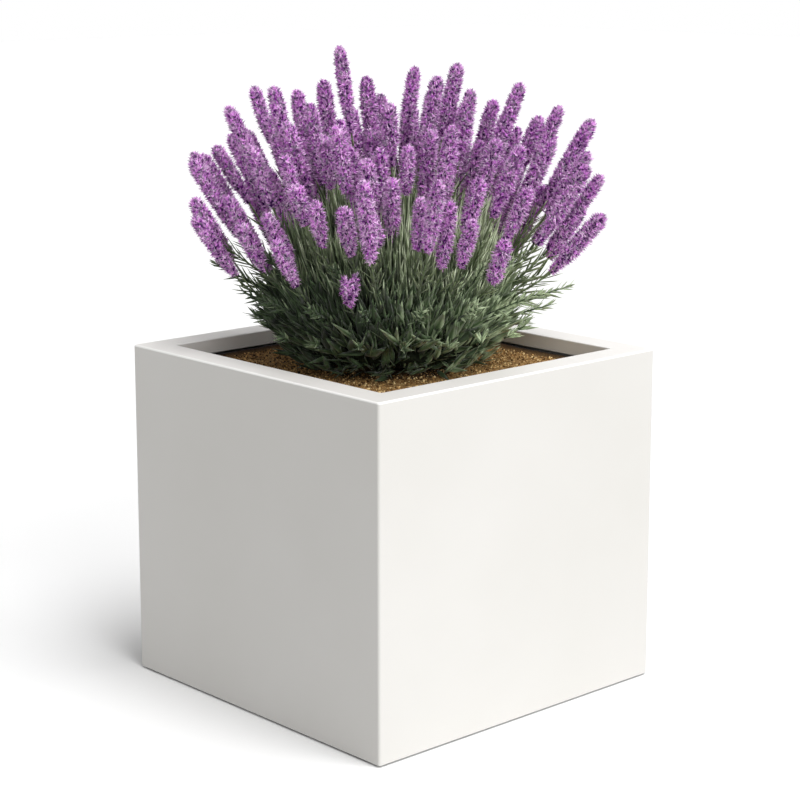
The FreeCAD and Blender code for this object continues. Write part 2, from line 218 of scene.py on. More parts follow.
satin_white = Finish("satin_white", roughness=0.42)
sprayed = satin_white.ramp(satin_white.cloud(260 * mm, detail=3), (0.3, tint(232, 230, 225)),
                           (0.7, tint(237, 235, 231)))
satin_white.colour(satin_white.blended(satin_white.painted("edge_highlight"), sprayed, tint(254, 253, 250)))
satin_white.rough(satin_white.between(satin_white.cloud(38 * mm, detail=5), 0.36, 0.5))
satin_white.relief(satin_white.cloud(3.2 * mm, detail=2), 0.05 * mm, strength=0.5)
shell = piece("shell", shell_form, satin_white, "planter", "shell_white", "outer_shell")
shell.modifiers.new("flat_faces_kept_flat", "WEIGHTED_NORMAL")


# Base: a flat sheet of the same composite, sprayed on its outside only and bonded on the shell's
# flange, with the drain hole bored through its middle.
def dress(node, finish):
    """New finish on a node whose own shape is right."""
    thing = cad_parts[node]
    for place in thing.material_slots:
        place.material = finish.material


plain_white = Finish("plain_white", roughness=0.6)
plain_white.colour(plain_white.ramp(plain_white.cloud(60 * mm), (0.3, tint(222, 220, 214)),
                                    (0.7, tint(233, 231, 226))))
plain_white.relief(plain_white.cloud(1.6 * mm), 0.08 * mm, strength=0.6)
dress("base_panel", plain_white)


# Rubber: the flanged plug pressed into the drain hole and the four pads stuck under the flange's
# corners, cut from dense black rubber with a dull, slightly dusty skin.
black_rubber = Finish("black_rubber", roughness=0.82, specular=0.35)
black_rubber.colour(black_rubber.ramp(black_rubber.cloud(9 * mm, detail=6), (0.35, tint(24, 24, 24)),
                                      (0.75, tint(46, 45, 43))))
black_rubber.relief(black_rubber.cloud(0.7 * mm), 0.12 * mm, strength=0.7)
for rubber_node in ("drain_plug", "foot_pad_1", "foot_pad_2", "foot_pad_3", "foot_pad_4"):
    dress(rubber_node, black_rubber)


# Liner: thin black polypropylene pot of one moulding, with draft, four feet and four drain holes.
# Its top edge is the dark line between the lip and the soil.
liner_black = Finish("liner_black", roughness=0.55)
liner_black.colour(liner_black.ramp(liner_black.cloud(30 * mm, detail=5), (0.3, tint(20, 20, 21)),
                                    (0.8, tint(38, 38, 38))))
liner_black.rough(liner_black.between(liner_black.cloud(12 * mm), 0.45, 0.68))
liner_black.relief(liner_black.cloud(0.9 * mm), 0.06 * mm, strength=0.6)
dress("liner", liner_black)


# Drainage layer: loose fired clay pebbles, 10 to 15 mm, poured on the liner's floor, each turned its own
# way. They hold the soil above the water that collects in the liner.
class Stamp:
    """Small mesh that is pressed many times into a larger form."""

    def __init__(self, form, smooth=True):
        self.mesh = bpy.data.meshes.new("stamp")
        for side in form.faces:
            side.smooth = smooth
        form.to_mesh(self.mesh)
        form.free()
        self.mesh.attributes.new("tone", "FLOAT", "POINT")
        self.rest = [share for vertex in self.mesh.vertices for share in vertex.co]
        self.rises = self.rest[2::3]
        self.widths = [abs(share) for share in self.rest[::3]]

    def press(self, form, place, tone, painted_base_shade=0.0, edge=0.0):
        """One copy at a place, with a tone that grows by a lift to its upper end, painted shade at its foot,
        and by an edge sideways, a painted highlight.
        """
        self.mesh.vertices.foreach_set("co", self.rest)
        self.mesh.transform(place)
        tones = [tone + painted_base_shade * rise + edge * width for rise, width in zip(self.rises, self.widths)]
        self.mesh.attributes["tone"].data.foreach_set("value", tones)
        form.from_mesh(self.mesh)


def turned_any_way(draw):
    """Rotation drawn at random."""
    turn = Quaternion([draw.gauss(0, 1) for part in range(4)])
    turn.normalize()
    return turn.to_matrix().to_4x4()


def lumpy_ball(draw, rings, unevenness):
    """Closed uneven ball of unit radius."""
    form = bmesh.new()
    bmesh.ops.create_uvsphere(form, u_segments=rings + 2, v_segments=rings, radius=1)
    for corner in form.verts:
        corner.co *= 1 + unevenness * (draw.random() - 0.5)
    return form


pebble_pitch = 14.5 * mm
pebble_layer_pitch = pebble_pitch * 0.86
pebble_radius = 6.6 * mm
pebble_stray = 1.4 * mm
pebble_spread = 0.985
pebble_draw = random.Random(5)
pebble_stamps = [Stamp(lumpy_ball(pebble_draw, 5, 0.22)) for kind in range(4)]
pebble_low, pebble_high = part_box("drainage_pebbles")
pebbles_form = bmesh.new()
pebble_level = pebble_low.z + pebble_radius
while pebble_level < pebble_high.z - pebble_radius / 2:
    edge = pebble_low.x * pebble_spread + pebble_radius
    across = edge
    while across < -edge:
        along = edge
        while along < -edge:
            shift = Vector([pebble_draw.uniform(-1, 1) for side in range(3)]) * pebble_stray
            size = pebble_radius * pebble_draw.uniform(0.82, 1.05)
            flattened = Matrix.Diagonal((size, size * 0.9, size * 0.8, 1))
            place = Matrix.Translation(Vector((across, along, pebble_level)) + shift)
            pebble_draw.choice(pebble_stamps).press(
                pebbles_form, place @ turned_any_way(pebble_draw) @ flattened, pebble_draw.random())
            along += pebble_pitch
        across += pebble_pitch
    pebble_level += pebble_layer_pitch
fired_clay = Finish("fired_clay", roughness=0.9, specular=0.25)
fired_clay.colour(fired_clay.blended(fired_clay.cloud(2.5 * mm, detail=6),
                                     fired_clay.ramp(fired_clay.painted("tone"), (0.0, tint(122, 78, 56)),
                                                     (1.0, tint(168, 112, 82))), tint(98, 66, 52)))
fired_clay.relief(fired_clay.cloud(1.1 * mm, detail=6), 0.5 * mm)
piece("clay_pebbles", pebbles_form, fired_clay, "planted_liner", "clay_pebbles", "drainage_pebbles")


# Filter sheet: needled grey fleece laid on the pebbles, which keeps the soil out of them. It sags a
# little between them.
fleece_low, fleece_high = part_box("filter_fleece")
fleece_thickness = (fleece_high.z - fleece_low.z) * 0.6
fleece_inset = 0.5 * mm
fleece_sag = 0.4 * mm
fleece_form = bmesh.new()
bmesh.ops.create_grid(fleece_form, x_segments=72, y_segments=72, size=fleece_high.x)
for corner in fleece_form.verts:
    sag = noise.noise(corner.co / pebble_pitch) * fleece_sag
    corner.co.z = fleece_high.z - fleece_inset + sag
bmesh.ops.recalc_face_normals(fleece_form, faces=fleece_form.faces[:])
bmesh.ops.solidify(fleece_form, geom=fleece_form.faces[:], thickness=fleece_thickness)
grey_fleece = Finish("grey_fleece", roughness=0.95, specular=0.2)
grey_fleece.shader.inputs["Sheen Weight"].default_value = 0.3
grey_fleece.colour(grey_fleece.ramp(grey_fleece.cloud(1.8 * mm, detail=8, roughness=0.7),
                                    (0.3, tint(150, 150, 148)), (0.7, tint(206, 206, 202))))
grey_fleece.relief(grey_fleece.cloud(0.8 * mm, detail=6, roughness=0.7), 0.3 * mm)
fleece = piece("fleece", fleece_form, grey_fleece, "planted_liner", "fleece", "filter_fleece")


# Potting soil: fine brown compost filled to just under the liner's edge and tamped nearly level, with
# a tapered hole for the root ball. It is banked up a little where it meets the liner, with painted shade
# along the liner and painted light that makes it paler towards one side, and crumbs and flecks of bark fibre
# lie loose on it.
soil_low, soil_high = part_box("potting_soil")
ball_low, ball_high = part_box("root_ball")
ball_top_radius = ball_high.x
ball_low_radius = 62 * mm
ball_depth = ball_high.z - ball_low.z
ball_taper = (ball_top_radius - ball_low_radius) / ball_depth
soil_gap = 0.2 * mm
soil_draft = 5.4 * mm
lump_size = 16 * mm
grain_size = 3.6 * mm
soil_relief = 0.7 * mm
bank_width = 9 * mm
bank_rise = 3.4 * mm
liner_shade_width = 24 * mm
soil_form = bmesh.new()
liner_shade = soil_form.verts.layers.float.new("liner_shade")
bmesh.ops.create_grid(soil_form, x_segments=190, y_segments=190, size=soil_high.x - soil_gap)
soil_top = soil_form.verts[:]
low_corners, low_edges = drawn_on(soil_form, [side for side in soil_form.edges if side.is_boundary])
low_share = (soil_high.x - soil_draft) / soil_high.x
bmesh.ops.scale(soil_form, verts=low_corners, vec=(low_share, low_share, 1))
bmesh.ops.translate(soil_form, verts=low_corners, vec=upward * (soil_low.z - soil_high.z))
bmesh.ops.contextual_create(soil_form, geom=low_edges)
bmesh.ops.translate(soil_form, verts=soil_form.verts[:], vec=upward * soil_high.z)
for corner in soil_top:
    inwards = ball_top_radius - math.hypot(corner.co.x, corner.co.y)
    if inwards > 0:
        corner.co.z -= min(inwards / ball_taper, ball_depth)
    else:
        lump = noise.fractal(corner.co / lump_size, 0.9, 2.1, 3) * soil_relief
        grain = noise.noise(corner.co / grain_size) * soil_relief
        from_liner = soil_high.x - max(abs(corner.co.x), abs(corner.co.y))
        bank = max(0, 1 - from_liner / bank_width) * bank_rise
        corner.co.z += lump + grain + bank
        # Painted shade: the soil is coloured darker near the liner, under the lip.
        corner[liner_shade] = max(0, 1 - from_liner / liner_shade_width)
bmesh.ops.recalc_face_normals(soil_form, faces=soil_form.faces[:])
smooth_all(soil_form)
brown_soil = Finish("brown_soil", roughness=0.95, specular=0.2)
grains = brown_soil.ramp(brown_soil.cloud(1.5 * mm, detail=5, roughness=0.75),
                         (0.38, tint(40, 24, 11)), (0.47, tint(150, 112, 66)), (0.56, tint(226, 178, 112)),
                         (0.66, tint(255, 226, 166)))
# Painted light: the soil is coloured paler towards +X, the side that the lamps light, and darker towards -X.
sideways = brown_soil.add("ShaderNodeSeparateXYZ", Vector=brown_soil.place).outputs["X"]
lit_side_share = brown_soil.add("ShaderNodeMapRange", Value=sideways, From_Min=-soil_high.x, From_Max=soil_high.x)
painted_side_light = brown_soil.ramp(lit_side_share.outputs["Result"], (0.1, tint(84, 60, 36)), (0.5, tint(150, 114, 72)),
                       (0.9, tint(180, 140, 92)))
soil_and_side_light = brown_soil.blended(0.38, grains, painted_side_light)
brown_soil.colour(brown_soil.blended(brown_soil.painted("liner_shade"), soil_and_side_light, tint(40, 26, 14)))
brown_soil.relief(brown_soil.cloud(1.6 * mm, detail=6, roughness=0.7), 1.4 * mm)
piece("soil", soil_form, brown_soil, "planted_liner", "soil", "potting_soil")

crumb_count = 9500
crumb_sizes = (0.5, 0.7, 0.8, 0.9, 1.1, 1.5)
crumb_reach = soil_high.x - 3 * mm
crumb_level = soil_high.z + 0.2 * mm
unseen_radius = ball_top_radius * 0.7
crumb_draw = random.Random(11)
crumb_stamps = [Stamp(lumpy_ball(crumb_draw, 3, 0.7)) for kind in range(5)]
crumbs_form = bmesh.new()
for crumb in range(crumb_count):
    spot = Vector([crumb_draw.uniform(-1, 1) * crumb_reach for side in range(2)] + [0])
    if spot.length < unseen_radius:
        continue
    size = crumb_draw.choice(crumb_sizes) * mm
    stretch = Matrix.Diagonal((size * crumb_draw.uniform(0.8, 1.9), size, size * 0.8, 1))
    place = Matrix.Translation(spot + upward * crumb_level)
    # Painted light: crumbs are painted paler towards +X, as the soil is.
    crumb_draw.choice(crumb_stamps).press(crumbs_form, place @ turned_any_way(crumb_draw) @ stretch,
                                          crumb_draw.random() + 0.18 * spot.x / soil_high.x)
loose_crumbs = Finish("loose_crumbs", roughness=0.95, specular=0.2)
loose_crumbs.colour(loose_crumbs.ramp(loose_crumbs.painted("tone"), (0.0, tint(34, 22, 11)),
                                      (0.5, tint(138, 102, 60)), (0.8, tint(216, 172, 110)),
                                      (1.0, tint(255, 226, 166))))
loose_crumbs.relief(loose_crumbs.cloud(0.8 * mm), 0.3 * mm)
piece("soil_crumbs", crumbs_form, loose_crumbs, "planted_liner", "soil", "potting_soil")


# Root ball: the bush's own plug of soil, tapered as the nursery pot that it grew in, and matted on its
# outside with pale roots.
def shaft(sides, *rings):
    """Closed shaft of unit length, from rings of a rise and a reach, drawn to a point at its end."""
    form = bmesh.new()
    rise, reach = rings[0]
    bmesh.ops.create_circle(form, cap_ends=True, segments=sides, radius=reach)
    end = form.faces[:][0]
    for next_rise, next_reach in (*rings[1:], (1, rings[-1][1])):
        made = bmesh.ops.extrude_face_region(form, geom=[end])["geom"]
        end = next(part for part in made if isinstance(part, bmesh.types.BMFace))
        bmesh.ops.scale(form, verts=end.verts[:], vec=(next_reach / reach, next_reach / reach, 1))
        bmesh.ops.translate(form, verts=end.verts[:], vec=upward * (next_rise - rise))
        rise, reach = next_rise, next_reach
    bmesh.ops.pointmerge(form, verts=end.verts[:], merge_co=upward)
    bmesh.ops.recalc_face_normals(form, faces=form.faces[:])
    return form


def laid_along(start, direction, length, width, thickness, roll=0.0):
    """Place for a shaft that starts at a point and follows a direction, its upper side turned up."""
    turn = direction.to_track_quat("Z", "Y") @ Quaternion((0, 0, 1), roll)
    return (Matrix.Translation(start) @ turn.to_matrix().to_4x4()
            @ Matrix.Diagonal((width, thickness, length, 1)))


ball_lump_size = 9 * mm
ball_unevenness = 0.011
ball_inset_share = 0.01
root_count = 700
root_thickness = 0.45 * mm
ball_form = bmesh.new()
bmesh.ops.create_cone(ball_form, cap_ends=True, segments=56, radius1=ball_low_radius,
                      radius2=ball_top_radius, depth=ball_depth)
upright = [side for side in ball_form.edges if abs(side.verts[0].co.z - side.verts[1].co.z) > mm]
bmesh.ops.subdivide_edges(ball_form, edges=upright, cuts=24, use_grid_fill=True)
bmesh.ops.translate(ball_form, verts=ball_form.verts[:], vec=upward * (ball_low.z + ball_high.z) / 2)
for corner in ball_form.verts:
    swell = 1 - ball_inset_share + noise.noise(corner.co / ball_lump_size) * ball_unevenness
    corner.co.x *= swell
    corner.co.y *= swell
smooth_all(ball_form)
root_draw = random.Random(23)
root_stamp = Stamp(shaft(3, (0, 0.8), (0.3, 1), (0.7, 0.7)))
for root in range(root_count):
    turn = root_draw.uniform(0, 2 * math.pi)
    share = root_draw.uniform(0.1, 0.96)
    reach = ball_low_radius + (ball_top_radius - ball_low_radius) * share
    start = Vector((reach * math.cos(turn), reach * math.sin(turn), ball_low.z + share * ball_depth))
    run = Vector((-math.sin(turn), math.cos(turn), root_draw.uniform(-1.5, 0.1))) * root_draw.choice((1, -1))
    root_stamp.press(ball_form, laid_along(start, run.normalized(), root_draw.uniform(12, 30) * mm,
                                           root_thickness, root_thickness), 1.0)
rooted_soil = Finish("rooted_soil", roughness=0.95, specular=0.2)
ball_soil = rooted_soil.ramp(rooted_soil.cloud(3 * mm, detail=6, roughness=0.7), (0.3, tint(44, 31, 20)),
                             (0.7, tint(92, 70, 47)))
rooted_soil.colour(rooted_soil.blended(rooted_soil.painted("tone"), ball_soil, tint(196, 178, 142)))
rooted_soil.relief(rooted_soil.cloud(1.8 * mm, detail=6), 0.8 * mm)
piece("rooted_ball", ball_form, rooted_soil, "planted_liner", "soil", "root_ball")


# Woody crown: the bush's old wood, a short trunk that forks under the leaves. Its grey-brown bark is
# ridged lengthwise and peels in strips.
bark = Finish("bark", roughness=0.9, specular=0.25)
bark.colour(bark.ramp(bark.cloud(3.5 * mm, detail=8, roughness=0.65), (0.3, tint(52, 42, 32)),
                      (0.55, tint(96, 80, 62)), (0.75, tint(132, 116, 94))))
bark.relief(bark.cloud(2.2 * mm, detail=6, roughness=0.7), 1.2 * mm)
dress("woody_crown", bark)


# Foliage mound: narrow grey-green leaves on short shoots, packed so close that their tips make one
# dome. Low down they are broad, grow in clumps, spread outwards and droop, and reach further over the
# soil on one side. Higher up they stand and fan out.
mound_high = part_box("foliage_mound")[1]
mound_reach = mound_high.x
mound_middle = 428.5 * mm
mound_rise = mound_high.z - mound_middle
soil_level = soil_high.z
fan_depth = 280 * mm
fan_focus = Vector((0, 0, soil_level - fan_depth))


def on_mound(turn, rise, inset):
    """Point on the dome at a turn and an angle of rise, inset from its outside."""
    reach = (mound_reach - inset) * math.cos(rise)
    return Vector((reach * math.cos(turn), reach * math.sin(turn),
                   mound_middle + (mound_rise - inset) * math.sin(rise)))


def curved(form, bend, wave=0.0):
    """Form bent towards +Y by a share of its length, with a wave along it."""
    for corner in form.verts:
        rise = corner.co.z
        corner.co.y += bend * rise * rise + wave * math.sin(2 * math.pi * rise)
        corner.co.z -= 0.5 * bend * bend * rise * rise
    return form


def channelled(form):
    """Leaf's upper side pressed in along its midrib."""
    for corner in form.verts:
        if corner.co.y > 0:
            corner.co.y *= -0.2
    return form


heart_inset = 34 * mm
heart_drop = 24 * mm
heart_cut = -0.24
heart_form = bmesh.new()
bmesh.ops.create_uvsphere(heart_form, u_segments=72, v_segments=48, radius=1)
bmesh.ops.bisect_plane(heart_form, geom=heart_form.verts[:] + heart_form.edges[:] + heart_form.faces[:],
                       plane_co=upward * heart_cut, plane_no=-upward, clear_outer=True)
bmesh.ops.holes_fill(heart_form, edges=[side for side in heart_form.edges if side.is_boundary])
heart_size = Vector((mound_reach - heart_inset, mound_reach - heart_inset, mound_rise - heart_drop))
for corner in heart_form.verts:
    swell = 1 + 0.09 * noise.noise(corner.co * 9) + 0.05 * noise.noise(corner.co * 23)
    corner.co = Vector([share * size * swell for share, size in zip(corner.co, heart_size)])
    corner.co.z += mound_middle
smooth_all(heart_form)
shaded_leaves = Finish("shaded_leaves", roughness=0.9, specular=0.15)
shaded_leaves.colour(shaded_leaves.ramp(shaded_leaves.cloud(5 * mm, detail=6), (0.35, tint(14, 18, 11)),
                                        (0.65, tint(38, 46, 30))))
shaded_leaves.relief(shaded_leaves.cloud(4 * mm, detail=4), 3 * mm)
piece("inner_foliage", heart_form, shaded_leaves, "planted_liner", "leaf_green", "foliage_mound")


def grey_green(name, dark, middle, light):
    """Leaf finish from its dark, middle and light greens, dusty with fine pale hairs."""
    leaf = Finish(name, roughness=0.62, specular=0.35)
    fresh = leaf.ramp(leaf.painted("tone"), (0.0, dark), (0.5, middle), (1.0, light))
    dust = leaf.cloud(7 * mm, detail=5)
    leaf.colour(leaf.blended(leaf.between(dust, 0.0, 0.35), fresh, middle))
    leaf.shader.inputs["Sheen Weight"].default_value = 0.15
    leaf.relief(leaf.cloud(0.9 * mm, detail=3), 0.2 * mm, strength=0.6)
    return leaf


broad_outline = ((0, 0.22), (0.2, 0.8), (0.42, 1), (0.72, 0.52))
narrow_outline = ((0, 0.5), (0.3, 1), (0.68, 0.85))
broad_leaves = [Stamp(curved(channelled(shaft(4, *broad_outline)), bend, wave))
                for bend, wave in ((0.22, 0.08), (0.44, 0.06), (-0.28, 0.11), (0.14, -0.13), (0.55, 0.04))]
narrow_leaves = [Stamp(curved(shaft(3, *narrow_outline), bend, wave))
                 for bend, wave in ((0.05, 0), (0.18, 0.02), (-0.12, 0.02), (0.02, -0.03))]
mound_leaf = grey_green("mound_leaf", tint(8, 14, 6), tint(68, 90, 54), tint(210, 228, 184))
standing_leaf = grey_green("standing_leaf", tint(22, 34, 16), tint(122, 142, 98), tint(232, 243, 208))


def leaf_direction(point, splay, spread, droop, draw):
    """Direction of a leaf: the bush's fan, splayed outwards, with a droop and some disorder."""
    fan = (point - fan_focus).normalized()
    outwards = Vector((point.x, point.y, 0))
    if outwards.length > mm:
        outwards.normalize()
    stray = Vector([draw.gauss(0, spread) for side in range(3)])
    return (fan * (1 - splay) + outwards * splay - upward * droop + stray).normalized()


lit_side_gain = 0.56
lit_side_direction = Vector((0.8, 0.6, 0))


def lit_side_tone(point):
    """Painted light: tone that the leaves gain on the side that the lamps light, where they are painted
    paler.
    """
    return lit_side_gain * max(0, point.dot(lit_side_direction) / mound_reach)


# The low leaves' tips stay above a line that lies just over the soil, rises gently outside the skirt's
# foot and steeply outside the bowl's. On the side to which they lean, the skirt's foot lies further out
# and the bowl's further in.
leaning = Vector((-0.67, -0.74, 0))
skirt_lean = leaning * 6 * mm
skirt_foot = 88 * mm
skirt_fall = 24 * mm
skirt_slope = 0.4
bowl_foot = 134 * mm
bowl_fall = 16 * mm
bowl_slope = 1.0
over_soil = soil_level + 1.5 * mm


def kept_up(start, direction, length, loose=0):
    """Direction raised where a leaf's tip would sink below the mound's underside or into the soil."""
    for attempt in range(3):
        tip = start + direction * length - skirt_lean
        reach = math.hypot(tip.x, tip.y)
        leftness = tip.dot(leaning) / reach
        lowest = over_soil + max(0, reach - skirt_foot - skirt_fall * leftness) * skirt_slope
        lowest += max(0, reach - bowl_foot + bowl_fall * leftness) * bowl_slope
        lowest += (over_soil - lowest) * loose
        if tip.z < lowest:
            direction.z += (lowest - tip.z) / length
            direction.normalize()
    return direction


under_leaf_count = 800
low_leaf_count = 4300
middle_leaf_count = 6200
upper_leaf_count = 4200
broad_thickness = 1.1 * mm
clump_size = 14 * mm
thin_spot = -0.2
lowest_rise = -13
usual_rise = 4
highest_rise = 50
# Each leaf's tone is painted darker at its foot and paler at its tip and along its sides, painted shade and
# a painted highlight; on the lit side of the bush it is painted paler still, as painted light.
leaf_draw = random.Random(31)
low_form = bmesh.new()
for leaf in range(under_leaf_count):
    turn = leaf_draw.uniform(0, 2 * math.pi)
    reach = leaf_draw.uniform(50, 112) * mm
    start = Vector((reach * math.cos(turn), reach * math.sin(turn),
                    soil_level + leaf_draw.uniform(5, 30) * mm))
    start += skirt_lean
    direction = leaf_direction(start, splay=0.6, spread=0.35, droop=0, draw=leaf_draw)
    length = leaf_draw.uniform(28, 46) * mm
    direction = kept_up(start, direction, length, leaf_draw.choice((0, 0, 0.6, 1)))
    leaf_draw.choice(broad_leaves).press(
        low_form, laid_along(start, direction, length, leaf_draw.uniform(2.6, 4.2) * mm, broad_thickness,
                             roll=leaf_draw.uniform(-1.5, 1.5)),
        leaf_draw.uniform(-0.28, 0.16) + lit_side_tone(start), painted_base_shade=0.42, edge=0.38)
for leaf in range(low_leaf_count):
    slope = leaf_draw.triangular(lowest_rise, highest_rise, usual_rise)
    rise = math.radians(slope)
    share = (slope - lowest_rise) / (highest_rise - lowest_rise)
    length = leaf_draw.triangular(32, 64, 46) * mm
    inset = leaf_draw.uniform(8, 30) * mm + 18 * mm * (1 - share) ** 2
    start = on_mound(leaf_draw.uniform(0, 2 * math.pi), rise, inset) + skirt_lean * (1 - share) ** 2
    density = noise.noise(start / clump_size)
    if density < thin_spot:
        continue
    direction = leaf_direction(start, splay=0.3 - 0.24 * share, spread=0.27 - 0.1 * share,
                               droop=0.35 * (1 - share) ** 4, draw=leaf_draw)
    direction = kept_up(start, direction, length)
    width = leaf_draw.uniform(2.8, 5.2) * mm * (1.2 - 0.45 * share)
    leaf_draw.choice(broad_leaves).press(
        low_form, laid_along(start, direction, length, width, broad_thickness,
                             roll=leaf_draw.uniform(-1.5, 1.5)),
        leaf_draw.uniform(-0.36, 0.12) + 0.36 * density + lit_side_tone(start), painted_base_shade=0.45, edge=0.38)
piece("foliage_low", low_form, mound_leaf, "planted_liner", "leaf_green", "foliage_mound")

middle_form = bmesh.new()
for leaf in range(middle_leaf_count):
    rise = math.radians(leaf_draw.triangular(16, 88, 44))
    start = on_mound(leaf_draw.uniform(0, 2 * math.pi), rise, leaf_draw.uniform(8, 30) * mm)
    direction = leaf_direction(start, splay=0.12, spread=0.14, droop=0, draw=leaf_draw)
    leaf_draw.choice(narrow_leaves).press(
        middle_form, laid_along(start, direction, leaf_draw.uniform(30, 58) * mm,
                                leaf_draw.uniform(1.5, 2.3) * mm, 0.8 * mm, roll=leaf_draw.gauss(0, 1.2)),
        leaf_draw.uniform(-0.1, 0.55) + lit_side_tone(start), painted_base_shade=0.45)
piece("foliage_middle", middle_form, standing_leaf, "planted_liner", "leaf_green", "foliage_mound")

upper_form = bmesh.new()
for leaf in range(upper_leaf_count):
    rise = math.asin(leaf_draw.uniform(0.55, 1))
    start = on_mound(leaf_draw.uniform(0, 2 * math.pi), rise, leaf_draw.uniform(0, 14) * mm)
    direction = leaf_direction(start, splay=0.02, spread=0.07, droop=0, draw=leaf_draw)
    leaf_draw.choice(narrow_leaves).press(
        upper_form, laid_along(start, direction, leaf_draw.triangular(40, 96, 60) * mm,
                               leaf_draw.uniform(1.1, 1.8) * mm, 0.7 * mm, roll=leaf_draw.gauss(0, 1.5)),
        leaf_draw.uniform(-0.1, 0.65) + lit_side_tone(start), painted_base_shade=0.4)
piece("foliage_upper", upper_form, standing_leaf, "planted_liner", "leaf_green", "foliage_mound")


# Leafy shoots: this year's growth that stands out of the dome, each a soft stem with leaves in pairs
# along it, smaller towards its tip.
def axes(node, sides):
    """Lower and upper end of every slim solid in a node, from its two end rings, in order along X and Y."""
    form = bmesh.new()
    form.from_mesh(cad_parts[node].data)
    bmesh.ops.remove_doubles(form, verts=form.verts[:], dist=0.01 * mm)
    waiting = dict.fromkeys(form.verts)
    found = []
    while waiting:
        group = [waiting.popitem()[0]]
        for corner in group:
            for side in corner.link_edges:
                other = side.other_vert(corner)
                if other in waiting:
                    del waiting[other]
                    group.append(other)
        heights = sorted((corner.co.copy() for corner in group), key=lambda place: place.z)
        ends = [sum(ring, Vector()) / sides for ring in (heights[:sides], heights[-sides:])]
        found.append(ends)
    form.free()
    return sorted(found, key=lambda ends: (round(ends[0].x / mm, 2), ends[0].y))


def around(direction, turn):
    """Direction square to another, at a turn about it."""
    side = direction.cross(Vector((0.31, 0.17, 0.93))).normalized()
    return Quaternion(direction, turn) @ side


shoot_stem_width = 1.3 * mm
shoot_pair_pitch = 5 * mm
stem_stamp = Stamp(shaft(5, (0, 1), (0.5, 0.85), (0.94, 0.5)))
shoot_leaf = grey_green("shoot_leaf", tint(56, 68, 42), tint(118, 134, 96), tint(190, 202, 162))
shoot_draw = random.Random(47)
for shoot_node, leaf_finish in (("leafy_shoots_low", mound_leaf), ("leafy_shoots_high", shoot_leaf)):
    shoot_form = bmesh.new()
    for start, tip in axes(shoot_node, 3):
        run = tip - start
        direction = run.normalized()
        stem_stamp.press(shoot_form, laid_along(start, direction, run.length,
                                                shoot_stem_width, shoot_stem_width), 0.35)
        pairs = max(6, round(run.length / shoot_pair_pitch))
        turn = shoot_draw.uniform(0, math.pi)
        for pair in range(pairs):
            share = 0.12 + 0.88 * pair / pairs
            turn += math.radians(90 + shoot_draw.gauss(0, 14))
            for half_turn in (0, math.pi):
                outwards = around(direction, turn + half_turn + shoot_draw.gauss(0, 0.2))
                lean = (outwards * shoot_draw.uniform(0.35, 0.8) + direction).normalized()
                length = shoot_draw.uniform(15, 27) * mm * (1.15 - 0.5 * share)
                shoot_draw.choice(broad_leaves).press(
                    shoot_form, laid_along(start + run * share, lean, length,
                                           shoot_draw.uniform(1.3, 2.1) * mm, 0.8 * mm,
                                           roll=shoot_draw.gauss(0, 0.8)),
                    shoot_draw.uniform(-0.1, 0.5) + lit_side_tone(start), painted_base_shade=0.4, edge=0.2)
    name = shoot_node.replace("leafy_shoots", "shoots")
    piece(name, shoot_form, leaf_finish, "planted_liner", "leaf_green", shoot_node)


# Flower stalks: angular green stems, 3 mm thick, that stand out of the leaves and bend outwards a little
# where they enter their flowers. Slim leaves in pairs stand along them.
spike_lean = 0.1
stem_width = 1.45 * mm
stem_in_spike = 34 * mm
stalk_pair_pitch = 8 * mm


def leant_out(low, tip):
    """Low end of a spike that leans outwards from its stalk, the more the further out it stands."""
    outwards = Vector((tip.x, tip.y, 0)) / mound_reach
    return low - outwards * spike_lean * (tip - low).length


stalk_green = grey_green("stalk_green", tint(58, 72, 42), tint(118, 136, 94), tint(182, 196, 150))
for band in ("inner", "middle", "outer"):
    stalk_node = "flower_stalks_" + band
    stalk_form = bmesh.new()
    spikes = axes("flower_spikes_" + band, 5)
    for start, end in axes(stalk_node, 3):
        low, tip = min(spikes, key=lambda ends: (ends[0] - end).length)
        low = leant_out(low, tip)
        run = low - start
        direction = run.normalized()
        for foot, way, length in ((start, direction, run.length + 2 * mm),
                                  (low, (tip - low).normalized(), stem_in_spike)):
            stem_stamp.press(stalk_form, laid_along(foot, way, length, stem_width, stem_width), 0.5)
        pairs = max(3, round(run.length / stalk_pair_pitch))
        turn = shoot_draw.uniform(0, math.pi)
        for pair in range(pairs):
            share = 0.1 + 0.86 * pair / pairs
            turn += math.radians(90 + shoot_draw.gauss(0, 14))
            for half_turn in (0, math.pi):
                outwards = around(direction, turn + half_turn + shoot_draw.gauss(0, 0.2))
                lean = (outwards * shoot_draw.uniform(0.3, 0.6) + direction).normalized()
                shoot_draw.choice(narrow_leaves).press(
                    stalk_form, laid_along(start + run * share, lean, shoot_draw.uniform(18, 36) * mm,
                                           shoot_draw.uniform(1.1, 1.7) * mm, 0.6 * mm,
                                           roll=shoot_draw.gauss(0, 0.8)),
                    shoot_draw.uniform(-0.1, 0.6) + lit_side_tone(start), painted_base_shade=0.4)
    piece("stalks_" + band, stalk_form, stalk_green, "planted_liner", "stalk_green", stalk_node)


